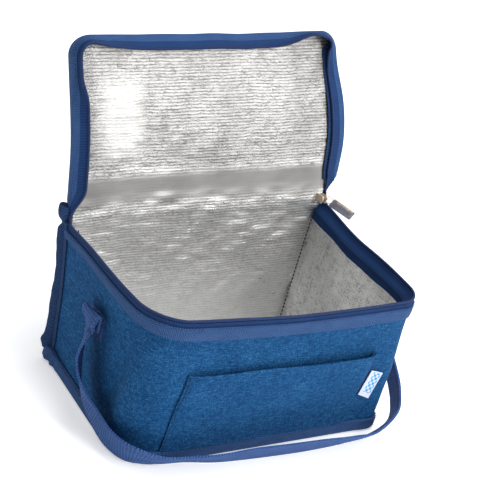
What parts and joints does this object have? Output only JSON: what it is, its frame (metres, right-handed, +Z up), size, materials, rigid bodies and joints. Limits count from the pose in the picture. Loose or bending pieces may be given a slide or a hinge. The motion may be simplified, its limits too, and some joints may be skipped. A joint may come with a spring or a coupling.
{
  "type": "insulated cooler bag",
  "caption": "Soft insulated cooler bag with a zipped lid standing open, a foil lining, a front slip pocket and a webbing carry handle.",
  "frame": {"origin": "centre of the underside, on the surface the bag stands on", "axes": "+X to the bag's right, -Y towards the pocket at the front, +Z up"},
  "size_m": [0.2854, 0.2355, 0.2664],
  "materials": {
    "outer_fabric": "heathered blue woven polyester, matt",
    "webbing": "ribbed violet-blue woven webbing",
    "zip_tape": "fine navy zip tape",
    "zip_coil": "nylon coil teeth, satin",
    "foam": "white closed-cell foam",
    "foil_lining": "crinkled metallised film, heat-bonded in short dashes",
    "label": "pale lilac satin ribbon",
    "zip_metal": "warm nickel plating"
  },
  "bodies": {
    "bag": {"outer_wrap_panel": "outer_fabric", "back_panel": "outer_fabric", "bottom_panel": "outer_fabric", "wall_foam": "foam", "back_foam": "foam", "bottom_foam": "foam", "wall_lining": "foil_lining", "back_lining": "foil_lining", "bottom_lining": "foil_lining", "rim_band": "webbing", "rim_inner_tape": "zip_tape", "base_binding": "webbing", "back_left_binding": "webbing", "back_right_binding": "webbing", "zipper_tape_rim": "zip_tape", "zipper_coil_rim": "zip_coil", "pocket_panel": "outer_fabric", "side_label": "label", "strap_end_left": "webbing", "strap_end_right": "webbing", "hinge_fold": "outer_fabric"},
    "lid": {"lid_panel": "outer_fabric", "lid_foam": "foam", "lid_lining": "foil_lining", "lid_binding": "webbing", "zipper_tape_lid": "zip_tape", "zipper_coil_lid": "zip_coil"},
    "handle": {"carry_strap": "webbing"},
    "zip_slider": {"zip_slider": "zip_metal"},
    "zip_pull": {"zip_pull": "zip_metal"}
  },
  "joints": [
    {"name": "lid_hinge", "type": "hinge", "parent": "bag", "child": "lid", "pos_m": [-0.00422, 0.07593, 0.131], "axis": [0.9995, 0.0323, 0], "range_deg": [-95, 111]},
    {"name": "handle_swing", "type": "hinge", "parent": "bag", "child": "handle", "pos_m": [0, 0.011, 0.088], "axis": [0.9999, 0.0166, 0], "range_deg": [-132, 0]},
    {"name": "zip_slide", "type": "slide", "parent": "bag", "child": "zip_slider", "axis": [0.0594, -0.9982, 0], "range_m": [0, 0.09]},
    {"name": "pull_swing", "type": "hinge", "parent": "zip_slider", "child": "zip_pull", "pos_m": [0.11503, 0.07126, 0.1226], "axis": [0, 0, 1], "range_deg": [-50, 65]}
  ]
}
